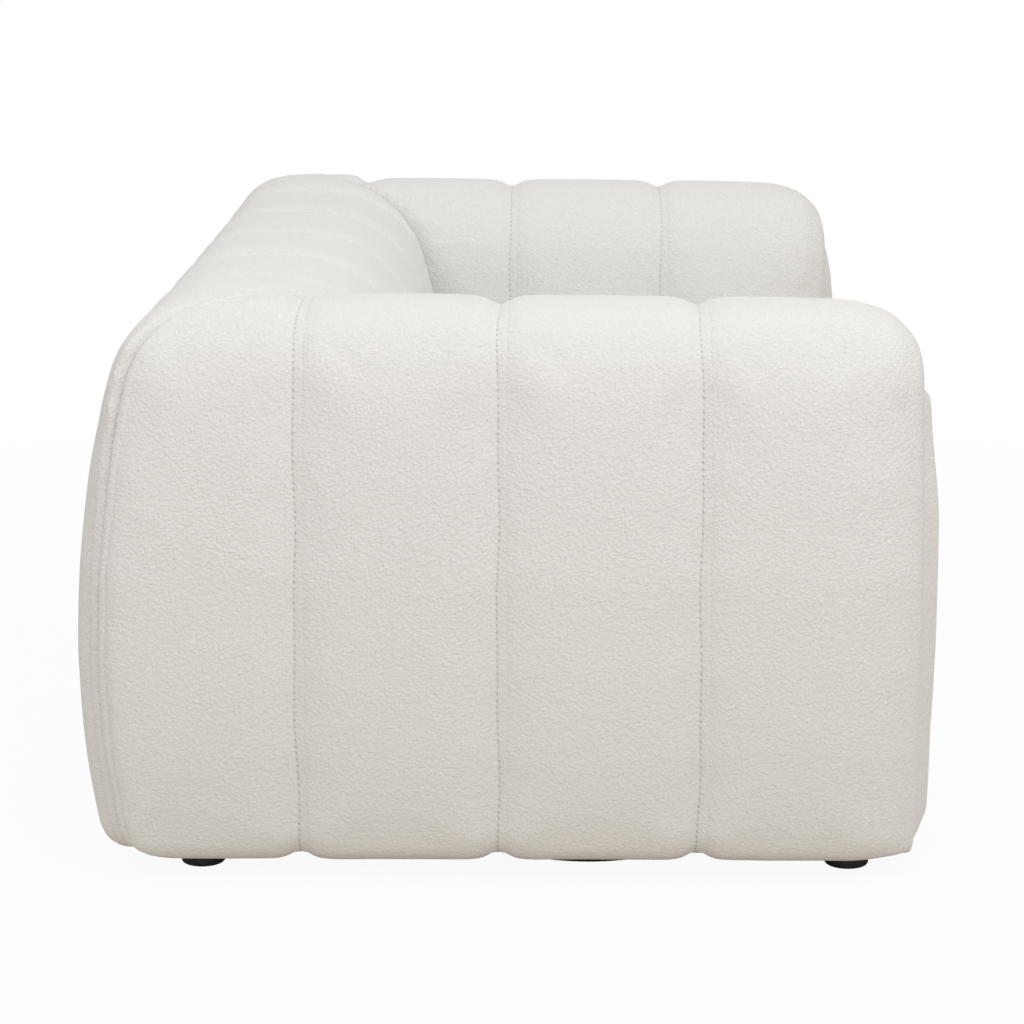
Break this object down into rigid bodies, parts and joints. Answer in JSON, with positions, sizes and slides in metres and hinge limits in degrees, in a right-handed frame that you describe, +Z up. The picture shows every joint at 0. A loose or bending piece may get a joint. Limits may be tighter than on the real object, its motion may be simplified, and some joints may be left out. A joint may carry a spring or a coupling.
{
  "type": "tuxedo sofa",
  "caption": "Low channelled sofa with arms as high as its back, wrapped round a bench seat; nubby cream cloth over a timber box frame on low black glides, for sitting.",
  "frame": {"origin": "on the floor under the middle of the sofa, half way along its length and its depth", "axes": "+X along the seat towards the sitter's left arm, +Y from the front to the rear of the back, +Z up"},
  "size_m": [1.6, 1, 0.671],
  "materials": {
    "boucle_cover": "nubby looped cloth, cream",
    "bottom_cloth": "thin black non-woven cloth",
    "elastic_webbing": "woven elastic webbing",
    "seat_foam": "upholstery foam with polyester wrap",
    "hardboard": "smooth hardboard",
    "plywood": "birch plywood, unfinished",
    "solid_timber": "planed softwood, unfinished",
    "glide_plastic": "black moulded plastic",
    "zinc_steel": "zinc-plated steel"
  },
  "bodies": {
    "root": {"back_bottom_board": "plywood", "back_channel_1": "boucle_cover", "back_channel_2": "boucle_cover", "back_channel_3": "boucle_cover", "back_channel_4": "boucle_cover", "back_channel_5": "boucle_cover", "back_channel_6": "boucle_cover", "back_front_panel": "hardboard", "back_left_rib": "plywood", "back_middle_rib": "plywood", "back_rear_panel": "hardboard", "back_right_rib": "plywood", "back_top_board": "plywood", "bottom_cloth": "bottom_cloth", "frame_bolt_nuts": "zinc_steel", "frame_bolts": "zinc_steel", "glide_studs": "zinc_steel", "glides": "glide_plastic", "left_arm_bottom_board": "plywood", "left_arm_channel_1": "boucle_cover", "left_arm_channel_2": "boucle_cover", "left_arm_channel_3": "boucle_cover", "left_arm_channel_4": "boucle_cover", "left_arm_front_facing": "boucle_cover", "left_arm_front_rib": "plywood", "left_arm_inner_panel": "plywood", "left_arm_middle_rib": "plywood", "left_arm_outer_panel": "hardboard", "left_arm_rear_rib": "plywood", "left_arm_top_board": "plywood", "right_arm_bottom_board": "plywood", "right_arm_channel_1": "boucle_cover", "right_arm_channel_2": "boucle_cover", "right_arm_channel_3": "boucle_cover", "right_arm_channel_4": "boucle_cover", "right_arm_front_facing": "boucle_cover", "right_arm_front_rib": "plywood", "right_arm_inner_panel": "plywood", "right_arm_middle_rib": "plywood", "right_arm_outer_panel": "hardboard", "right_arm_rear_rib": "plywood", "right_arm_top_board": "plywood", "seat_centre_rail": "solid_timber", "seat_channel_1": "boucle_cover", "seat_channel_2": "boucle_cover", "seat_channel_3": "boucle_cover", "seat_channel_4": "boucle_cover", "seat_corner_blocks": "solid_timber", "seat_foam": "seat_foam", "seat_front_rail": "solid_timber", "seat_left_side_rail": "solid_timber", "seat_rear_rail": "solid_timber", "seat_right_side_rail": "solid_timber", "webbing_front_to_back": "elastic_webbing", "webbing_side_to_side": "elastic_webbing"}
  },
  "joints": []
}
